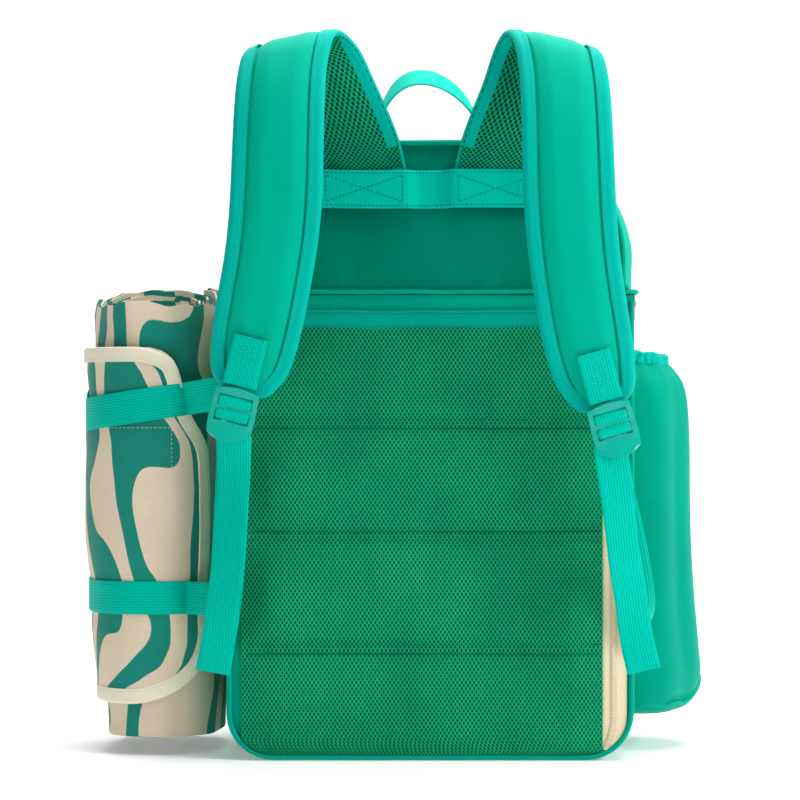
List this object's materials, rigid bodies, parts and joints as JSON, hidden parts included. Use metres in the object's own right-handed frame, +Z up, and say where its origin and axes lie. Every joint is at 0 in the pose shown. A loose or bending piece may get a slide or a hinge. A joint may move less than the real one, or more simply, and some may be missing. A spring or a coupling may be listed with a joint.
{
  "type": "insulated picnic backpack cooler",
  "caption": "Insulated cooler backpack with a zipped dome lid, padded mesh back, shoulder straps with ladder locks, a strapped-on rolled blanket and a side bottle pouch.",
  "frame": {"origin": "middle of the flat base that the bag stands on", "axes": "+Z up through the lid and its handle; -Y towards the wearer, so the straps and the mesh back are at -Y; +X towards the bottle pouch, the wearer's right, and -X towards the rolled blanket"},
  "size_m": [0.4823, 0.2895, 0.5431],
  "materials": {
    "body_fabric": "matte",
    "trim_binding": "matte",
    "webbing": "matte",
    "air_mesh": "matte",
    "zip_tape": "matte",
    "liner": "satin",
    "foam": "matte",
    "plastic": "satin",
    "blanket": "matte",
    "blanket_binding": "matte",
    "zip_metal": "satin"
  },
  "bodies": {
    "cooler_body": {"lower_gusset": "body_fabric", "lower_back_panel": "body_fabric", "lower_front_panel": "body_fabric", "lower_foam": "foam", "lower_liner": "liner", "base_board": "plastic", "lower_back_piping": "trim_binding", "lower_front_piping": "trim_binding", "lid_zip_lower_tape": "zip_tape", "back_mesh_pad": "air_mesh", "mesh_top_binding": "trim_binding", "side_zip_tape": "zip_tape", "front_slip_pocket": "body_fabric", "slip_pocket_binding": "trim_binding", "front_zip_tape": "zip_tape", "bottle_pouch": "body_fabric", "pouch_elastic_binding": "trim_binding", "left_strap_pad": "body_fabric", "left_strap_mesh": "air_mesh", "left_strap_binding": "trim_binding", "left_strap_tab": "webbing", "left_strap_tail": "webbing", "left_lower_webbing": "webbing", "right_strap_pad": "body_fabric", "right_strap_mesh": "air_mesh", "right_strap_binding": "trim_binding", "right_strap_tab": "webbing", "right_strap_tail": "webbing", "right_lower_webbing": "webbing", "blanket_upper_band": "webbing", "blanket_lower_band": "webbing"},
    "lid": {"lid_gusset": "body_fabric", "lid_back_panel": "body_fabric", "lid_front_panel": "body_fabric", "lid_foam": "foam", "lid_liner": "liner", "lid_back_piping": "trim_binding", "lid_front_piping": "trim_binding", "lid_rim_piping": "trim_binding", "lid_zip_upper_tape": "zip_tape", "strap_anchor_band": "webbing", "handle_patch_left": "webbing", "handle_patch_right": "webbing"},
    "carry_handle": {"carry_handle": "webbing"},
    "rolled_blanket": {"blanket_roll": "blanket", "blanket_flap": "blanket", "blanket_flap_binding": "blanket_binding"},
    "left_ladder_lock": {"left_ladder_lock": "plastic"},
    "right_ladder_lock": {"right_ladder_lock": "plastic"},
    "lid_zip_left_slider": {"lid_zip_left_slider": "zip_metal"},
    "lid_zip_left_pull": {"lid_zip_left_pull": "trim_binding"},
    "lid_zip_right_slider": {"lid_zip_right_slider": "zip_metal"},
    "lid_zip_right_pull": {"lid_zip_right_pull": "trim_binding"},
    "side_zip_slider": {"side_zip_slider": "zip_metal"},
    "side_zip_pull": {"side_zip_pull": "trim_binding"},
    "front_zip_slider": {"front_zip_slider": "zip_metal"},
    "front_zip_pull": {"front_zip_pull": "trim_binding"}
  },
  "joints": [
    {"name": "lid_hinge", "type": "hinge", "parent": "cooler_body", "child": "lid", "pos_m": [0, -0.092, 0.349], "axis": [1, 0, 0], "range_deg": [0, 90], "deforming": ["left_strap_pad", "left_strap_mesh", "left_strap_binding", "right_strap_pad", "right_strap_mesh", "right_strap_binding"]},
    {"name": "carry_handle_swing", "type": "hinge", "parent": "lid", "child": "carry_handle", "pos_m": [0, 0, 0.473], "axis": [1, 0, 0], "range_deg": [-65, 35]},
    {"name": "blanket_slide", "type": "slide", "parent": "cooler_body", "child": "rolled_blanket", "axis": [0, 0, 1], "range_m": [0, 0.3]},
    {"name": "left_lock_tilt", "type": "hinge", "parent": "cooler_body", "child": "left_ladder_lock", "pos_m": [-0.14133, -0.14579, 0.27476], "axis": [-0.97, 0, 0.243], "range_deg": [0, 40]},
    {"name": "right_lock_tilt", "type": "hinge", "parent": "cooler_body", "child": "right_ladder_lock", "pos_m": [0.12933, -0.14586, 0.26416], "axis": [-0.9605, 0, -0.2783], "range_deg": [0, 40]},
    {"name": "lid_zip_left_slide", "type": "slide", "parent": "cooler_body", "child": "lid_zip_left_slider", "axis": [1, 0, 0], "range_m": [-0.115, 0]},
    {"name": "lid_zip_left_swing", "type": "hinge", "parent": "lid_zip_left_slider", "child": "lid_zip_left_pull", "pos_m": [-0.011, 0.09965, 0.3425], "axis": [1, 0, 0], "range_deg": [0, 120]},
    {"name": "lid_zip_right_slide", "type": "slide", "parent": "cooler_body", "child": "lid_zip_right_slider", "axis": [1, 0, 0], "range_m": [0, 0.115]},
    {"name": "lid_zip_right_swing", "type": "hinge", "parent": "lid_zip_right_slider", "child": "lid_zip_right_pull", "pos_m": [0.011, 0.09965, 0.3425], "axis": [1, 0, 0], "range_deg": [0, 120]},
    {"name": "side_zip_slide", "type": "slide", "parent": "cooler_body", "child": "side_zip_slider", "axis": [0, 0, 1], "range_m": [-0.24, 0]},
    {"name": "side_zip_swing", "type": "hinge", "parent": "side_zip_slider", "child": "side_zip_pull", "pos_m": [0.1385, -0.09965, 0.3085], "axis": [-1, 0, 0], "range_deg": [0, 120]},
    {"name": "front_zip_slide", "type": "slide", "parent": "cooler_body", "child": "front_zip_slider", "axis": [1, 0, 0], "range_m": [0, 0.184]},
    {"name": "front_zip_swing", "type": "hinge", "parent": "front_zip_slider", "child": "front_zip_pull", "pos_m": [-0.092, 0.09965, 0.2935], "axis": [1, 0, 0], "range_deg": [0, 120]}
  ]
}
